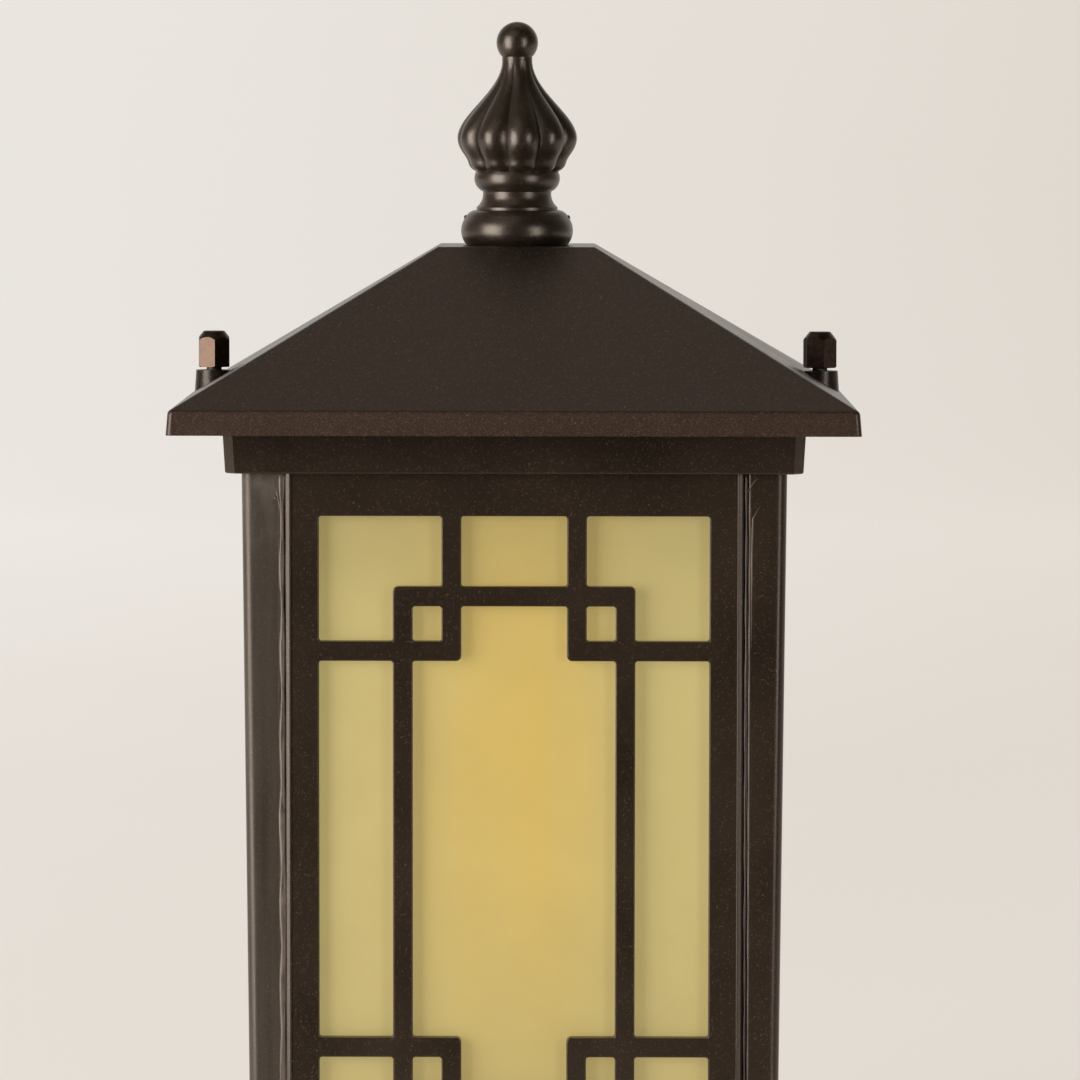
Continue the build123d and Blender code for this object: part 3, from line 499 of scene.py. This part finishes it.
def brass(name, dark, light):
    material, tree, shader = start_material(name)
    where = place(tree)
    two_tone(tree, shader, cloudy(tree, where, 180.0, 5.0), dark, light, (0.4, 0.24))
    shader.inputs["Metallic"].default_value = 1.0
    return material


plain_brass = brass("plain_brass", tone(168, 130, 70), tone(206, 170, 100))
coat(("lampholder_shell", "centre_contact", "earth_tag"), plain_brass)


# Lamp
# An opal glass bulb that glows a warm white, in a nickel-plated screw cap with a black glass insulator and a
# soldered tip.

LAMP_LOW = 0.09
LAMP_HIGH = 0.19

material, tree, shader = start_material("opal_glass")
where = place(tree)
level = add(tree, "SeparateXYZ", links={"Vector": where}).outputs["Z"]
warm = remap(tree, level, LAMP_LOW, LAMP_HIGH, smooth=True)
colour = blend_colour(tree, warm, tone(240, 226, 196), tone(250, 242, 222))
frost = noise(tree, where, 400.0, 2.0)
tree.links.new(colour, shader.inputs["Base Color"])
tree.links.new(colour, shader.inputs["Emission Color"])
tree.links.new(remap(tree, warm, 0.0, 1.0, 0.25, 0.55), shader.inputs["Emission Strength"])
tree.links.new(remap(tree, frost, NOISE_LOW, NOISE_HIGH, 0.2, 0.3), shader.inputs["Roughness"])
coat(("lamp_glass",), material)
coat(("lamp_cap",), brass("nickel_cap", tone(168, 165, 158), tone(204, 201, 193)))
coat(("lamp_tip",), brass("solder_tip", tone(128, 128, 130), tone(164, 164, 164)))

material, tree, shader = start_material("black_glass")
where = place(tree)
sheen = cloudy(tree, where, 250.0, 3.0)
two_tone(tree, shader, sheen, tone(12, 11, 14), tone(24, 22, 28), (0.06, 0.14))
coat(("lamp_insulator",), material)


# Terminal block and leads
# A moulded nylon block on the foot, with plastic-covered leads in brown, blue, and green with yellow.

EARTH_STRIPES = 90.0


def plastic(name, dark, light, stripes=0.0):
    material, tree, shader = start_material(name)
    where = place(tree)
    if stripes:
        values = {"Scale": stripes}
        band = add(tree, "TexWave", values, {"Vector": where}, bands_direction="DIAGONAL").outputs["Fac"]
        share = remap(tree, band, 0.45, 0.55)
    else:
        share = cloudy(tree, where, 120.0, 3.0)
    tree.links.new(blend_colour(tree, share, dark, light), shader.inputs["Base Color"])
    skin = noise(tree, where, 900.0, 2.0)
    tree.links.new(remap(tree, skin, NOISE_LOW, NOISE_HIGH, 0.36, 0.5), shader.inputs["Roughness"])
    dent(tree, shader, skin, 0.1, 0.0001)
    return material


coat(("terminal_block",), plastic("block_nylon", tone(214, 210, 196), tone(228, 225, 214)))
coat(("live_lead",), plastic("brown_insulation", tone(86, 50, 30), tone(104, 64, 40)))
coat(("neutral_lead",), plastic("blue_insulation", tone(28, 66, 132), tone(40, 84, 152)))
coat(("earth_lead",), plastic("earth_insulation", tone(52, 122, 58), tone(214, 196, 60), EARTH_STRIPES))


# Roof and finial
# The roof is one hollow casting that lifts off with a ring brazed inside it. Its coat is painted darker than
# the other castings' as painted shade. The eave's short upright band has real pale specks on a band painted
# paler as painted light. The finial is cast with ten lobes and two mould nubs, and a stud holds it from
# inside; its coat is painted darker in soft clouds as painted shade.

NUB_SPOT = (0.0171, 0.0, 0.3409)
NUB_RADIUS = 0.0011
NUB_STRETCH = (0.55, 0.9, 0.8)

EAVE_LOW = 0.2742
EAVE_HIGH = 0.2815
EAVE_TONE = tone(134, 103, 86)
EAVE_SPECKS_AND_LIGHT = 0.19
# Painted shade: the castings' bronze powder, painted darker for the roof.
ROOF_SHADED_DARK = tone(21, 16, 11)
ROOF_SHADED_LIGHT = tone(28, 21, 15)
FINIAL_SHADE_TONE = tone(12, 8, 5)
FINIAL_SHADE_SHARES = (0.2, 0.4)
FINIAL_SATIN = 0.27
FINIAL_GLEAM = 0.9
FINIAL_GRAIN = 0.6


# Real pale specks on a paler band; the band's paleness is painted light that the upright catches.
def eave_specks_and_light(tree, where):
    level = add(tree, "SeparateXYZ", links={"Vector": where}).outputs["Z"]
    above = remap(tree, level, EAVE_LOW - 0.0004, EAVE_LOW, smooth=True)
    below = remap(tree, level, EAVE_HIGH - 0.0006, EAVE_HIGH + 0.0010, 1.0, 0.0, smooth=True)
    speck = remap(tree, noise(tree, where, 1 / FLAKE_SIZE, 2.0), 0.52, 0.72, 0.6, 2.4)
    band = calc(tree, "MULTIPLY", above, below)
    return calc(tree, "MULTIPLY", band, calc(tree, "MULTIPLY", speck, EAVE_SPECKS_AND_LIGHT))


# Painted shade: the finial's coat darkened in soft clouds towards near black.
def painted_finial_shade(tree, where):
    return cloudy(tree, where, 1 / CLOUD_SIZE, 3.0, *FINIAL_SHADE_SHARES)


coat(("roof_rib",), casting_coat)
finial_coat = bronze_coat("finial_coat", painted_finial_shade, FINIAL_SHADE_TONE, FINIAL_SATIN, FINIAL_GLEAM, FINIAL_GRAIN)
coat(("finial",), finial_coat)
roof_coat = bronze_coat("roof_coat", eave_specks_and_light, EAVE_TONE, dark=ROOF_SHADED_DARK, light=ROOF_SHADED_LIGHT)
coat(("roof_shell",), roof_coat)
coat(("finial_stud", "finial_washer", "finial_nut"), plain_zinc)
for hand, name in ((-1, "left_nub"), (1, "right_nub")):
    mesh = bmesh.new()
    bmesh.ops.create_icosphere(mesh, subdivisions=3, radius=NUB_RADIUS)
    bmesh.ops.scale(mesh, vec=NUB_STRETCH, verts=mesh.verts)
    bmesh.ops.translate(mesh, vec=(hand * NUB_SPOT[0], NUB_SPOT[1], NUB_SPOT[2]), verts=mesh.verts)
    new_piece(name, mesh, casting_coat, "roof")


# Cap nuts
# Hexagonal cap nuts in antiqued copper, turned down on the studs to hold the roof.

material, tree, shader = start_material("nut_bronze")
where = place(tree)
worn = remap(tree, noise(tree, where, 700.0, 4.0), 0.35, 0.7)
two_tone(tree, shader, worn, tone(76, 60, 51), tone(93, 75, 64), (0.32, 0.42))
shader.inputs["Metallic"].default_value = 1.0
dent(tree, shader, noise(tree, where, 1600.0, 2.0), 0.15, 0.00006)
coat(("left_cap_nut", "right_cap_nut"), material)


# Studio
# A pale table and backdrop, a soft light on either side, the left one stronger, and a dark room behind the
# camera. The apron carries the table's tone forward, and it gives no light, shade or reflection.

SWEEP_HALF_WIDTH = 4.5
SWEEP_FRONT = -0.3
SWEEP_BACK = 3.4
SWEEP_RADIUS = 0.8
SWEEP_TOP = 3.4
APRON_FRONT = -3.6
APRON_TONE = tone(229, 222, 214)
BEND_STEPS = 24
PAPER_LIGHT = tone(236, 232, 227)
PAPER_SHADED = tone(224, 217, 208)
DULL_LIGHT = tone(132, 130, 127)
DULL_SHADED = tone(120, 117, 113)
PAPER_GLOW = 0.92


def last_edge(result, key):
    return [item for item in result[key] if isinstance(item, bmesh.types.BMEdge)]


def drawn_on(mesh, edges, step):
    fresh = bmesh.ops.extrude_edge_only(mesh, edges=edges)
    corners = [item for item in fresh["geom"] if isinstance(item, bmesh.types.BMVert)]
    bmesh.ops.translate(mesh, verts=corners, vec=step)
    return [edge for edge in last_edge(fresh, "geom") if all(v in corners for v in edge.verts)]


def front_edge(mesh, front):
    ends = [mesh.verts.new((x, front, 0.0)) for x in (-SWEEP_HALF_WIDTH, SWEEP_HALF_WIDTH)]
    return [mesh.edges.new(ends)]


def sheet(name, mesh, material):
    for face in mesh.faces:
        face.smooth = True
    data = bpy.data.meshes.new(name)
    mesh.to_mesh(data)
    mesh.free()
    data.materials.append(material)
    made = bpy.data.objects.new(name, data)
    bpy.context.scene.collection.objects.link(made)
    return made


mesh = bmesh.new()
strip = drawn_on(mesh, front_edge(mesh, SWEEP_FRONT), (0.0, SWEEP_BACK - SWEEP_FRONT, 0.0))
bend = bmesh.ops.spin(
    mesh,
    geom=strip + list(strip[0].verts),
    cent=(0.0, SWEEP_BACK, SWEEP_RADIUS),
    axis=(1.0, 0.0, 0.0),
    angle=math.radians(90),
    steps=BEND_STEPS,
)
drawn_on(mesh, last_edge(bend, "geom_last"), (0.0, 0.0, SWEEP_TOP - SWEEP_RADIUS))
bmesh.ops.remove_doubles(mesh, verts=mesh.verts, dist=1e-5)

material, tree, shader = start_material("sweep_paper")
where = place(tree)
axes = add(tree, "SeparateXYZ", links={"Vector": where})
# Painted light: the paper glows, darker towards the right and towards the front, and near the left softbox
# its base colour is black so no light shows there.
drift = remap(tree, noise(tree, where, 2.0), 0.0, 1.0, 0.0, 0.2)
near_painted_shade = calc(tree, "ADD", remap(tree, axes.outputs["Y"], 0.4, 3.0, 0.5, 0.0), drift)
painted_falloff = calc(tree, "ADD", remap(tree, axes.outputs["X"], -0.6, 0.6, 0.0, 0.85), near_painted_shade)
paper = blend_colour(tree, painted_falloff, PAPER_LIGHT, PAPER_SHADED)
dull = blend_colour(tree, painted_falloff, DULL_LIGHT, DULL_SHADED)
inward = remap(tree, axes.outputs["X"], -0.8, -0.35)
lit = calc(tree, "MAXIMUM", inward, remap(tree, axes.outputs["Y"], 0.3, 1.5))
tree.links.new(blend_colour(tree, lit, BLACK, dull), shader.inputs["Base Color"])
tree.links.new(paper, shader.inputs["Emission Color"])
shader.inputs["Emission Strength"].default_value = PAPER_GLOW
shader.inputs["Roughness"].default_value = 0.9
shader.inputs["Specular IOR Level"].default_value = 0.1
sweep = sheet("sweep", mesh, material)

mesh = bmesh.new()
drawn_on(mesh, front_edge(mesh, APRON_FRONT), (0.0, SWEEP_FRONT - APRON_FRONT, 0.0))
material, tree, shader = start_material("apron_paper")
shader.inputs["Base Color"].default_value = BLACK
shader.inputs["Specular IOR Level"].default_value = 0.0
shader.inputs["Emission Color"].default_value = APRON_TONE
shader.inputs["Emission Strength"].default_value = 1.0
apron = sheet("apron", mesh, material)
apron.visible_glossy = False
apron.visible_diffuse = False
apron.visible_shadow = False


def soft_light(name, spot, aim, width, height, power, colour=(1.0, 1.0, 1.0)):
    lamp = bpy.data.lights.new(name, "AREA")
    lamp.color = colour
    lamp.shape = "RECTANGLE"
    lamp.size = width
    lamp.size_y = height
    lamp.energy = power
    holder = bpy.data.objects.new(name, lamp)
    holder.location = spot
    holder.rotation_euler = (Vector(aim) - Vector(spot)).to_track_quat("-Z", "Y").to_euler()
    bpy.context.scene.collection.objects.link(holder)


MIDDLE = (0.0, 0.0, 0.22)
soft_light("left_softbox", (-1.04, -0.78, 0.34), MIDDLE, 0.8, 1.3, 22.5)
soft_light("right_softbox", (0.92, -1.06, 0.34), MIDDLE, 0.40, 1.0, 6.0)
soft_light("overhead", (-0.6, -0.9, 1.6), MIDDLE, 1.4, 1.2, 2.0)
soft_light("ceiling", (0.0, 0.46, 1.75), MIDDLE, 0.9, 0.8, 0.75, (1.0, 0.76, 0.60))

ROOM_DARK = tone(31, 28, 25)
ROOM_PALE = tone(136, 130, 124)
BACKDROP = tone(230, 225, 219)

world = bpy.data.worlds.new("studio")
bpy.context.scene.world = world
world.use_nodes = True
tree = world.node_tree
way = add(tree, "TexCoord").outputs["Generated"]
depth = add(tree, "SeparateXYZ", links={"Vector": way}).outputs["Y"]
pale = remap(tree, depth, -0.3, 0.7, 0.0, 1.0, smooth=True)
room = blend_colour(tree, pale, ROOM_DARK, ROOM_PALE)
seen = add(tree, "LightPath").outputs["Is Camera Ray"]
background = next(n for n in tree.nodes if n.type == "BACKGROUND")
tree.links.new(blend_colour(tree, seen, room, BACKDROP), background.inputs["Color"])

PHOTO_SIZE = 1080
FOCAL_PIXELS = 6036.0
SENSOR = 36.0
CAMERA_SPOT = (0.0186, -2.012, 0.3800)
CAMERA_DIP = math.radians(4.17)
CAMERA_TURN = math.radians(0.308)
CAMERA_ROLL = math.radians(0.08)

lens = bpy.data.cameras.new("camera")
lens.sensor_width = SENSOR
lens.lens = FOCAL_PIXELS / PHOTO_SIZE * SENSOR
camera = bpy.data.objects.new("camera", lens)
bpy.context.scene.collection.objects.link(camera)
turn = Matrix.Rotation(CAMERA_TURN, 4, "Z")
dip = Matrix.Rotation(math.radians(90) - CAMERA_DIP, 4, "X")
roll = Matrix.Rotation(CAMERA_ROLL, 4, "Z")
camera.matrix_world = Matrix.Translation(CAMERA_SPOT) @ turn @ dip @ roll
bpy.context.scene.camera = camera
bpy.context.scene.view_settings.view_transform = "Standard"
